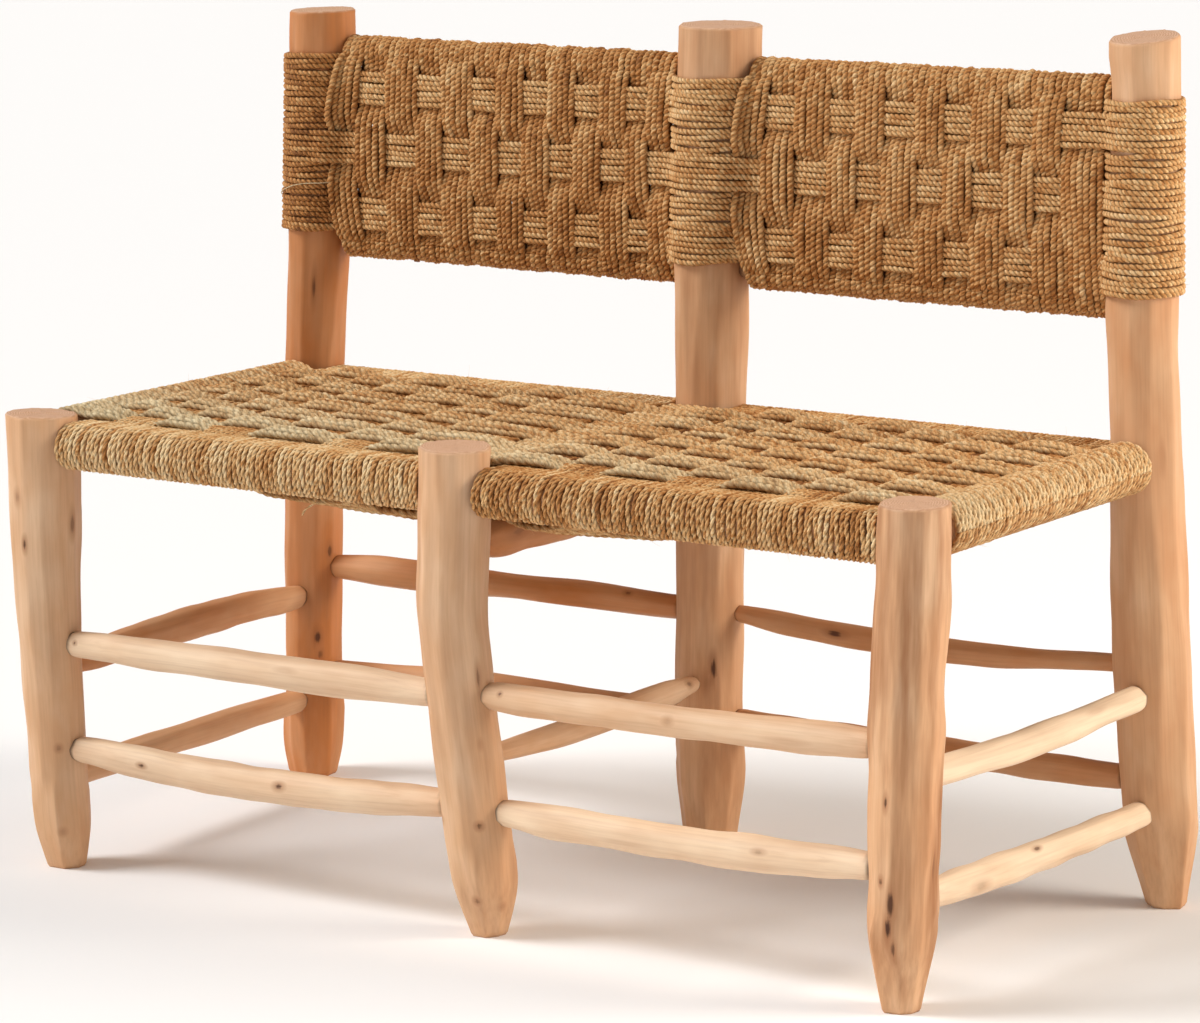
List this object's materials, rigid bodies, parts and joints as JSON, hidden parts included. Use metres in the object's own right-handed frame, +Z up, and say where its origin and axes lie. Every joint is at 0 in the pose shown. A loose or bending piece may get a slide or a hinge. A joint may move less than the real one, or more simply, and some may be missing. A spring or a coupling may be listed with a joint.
{
  "type": "woven bench",
  "caption": "Rustic two-place bench of peeled poles, pegged together by round tenons, with a rope-woven seat and low woven back panels between the posts.",
  "frame": {"origin": "on the floor, under the middle of the bench's box", "axes": "+X along the bench to its right end as seen from the front, +Y from the front row of legs to the back row, +Z up"},
  "size_m": [1.0259, 0.5137, 0.8005],
  "materials": {
    "peeled_wood": "matte",
    "palm_rope": "matte"
  },
  "bodies": {
    "root": {"back_post_left": "peeled_wood", "back_post_middle": "peeled_wood", "back_post_right": "peeled_wood", "back_rail_lower_left": "peeled_wood", "back_rail_lower_right": "peeled_wood", "back_rail_upper_left": "peeled_wood", "back_rail_upper_right": "peeled_wood", "back_rung_lower_left": "peeled_wood", "back_rung_lower_right": "peeled_wood", "back_rung_upper_left": "peeled_wood", "back_rung_upper_right": "peeled_wood", "back_seat_rail_left": "peeled_wood", "back_seat_rail_right": "peeled_wood", "back_weave_left": "palm_rope", "back_weave_right": "palm_rope", "front_leg_left": "peeled_wood", "front_leg_middle": "peeled_wood", "front_leg_right": "peeled_wood", "front_rung_lower_left": "peeled_wood", "front_rung_lower_right": "peeled_wood", "front_rung_upper_left": "peeled_wood", "front_rung_upper_right": "peeled_wood", "front_seat_rail_left": "peeled_wood", "front_seat_rail_right": "peeled_wood", "middle_rung": "peeled_wood", "middle_seat_rail": "peeled_wood", "post_winding_left": "palm_rope", "post_winding_middle": "palm_rope", "post_winding_right": "palm_rope", "seat_weave": "palm_rope", "side_rung_lower_left": "peeled_wood", "side_rung_lower_right": "peeled_wood", "side_rung_upper_left": "peeled_wood", "side_rung_upper_right": "peeled_wood", "side_seat_rail_left": "peeled_wood", "side_seat_rail_right": "peeled_wood"}
  },
  "joints": []
}
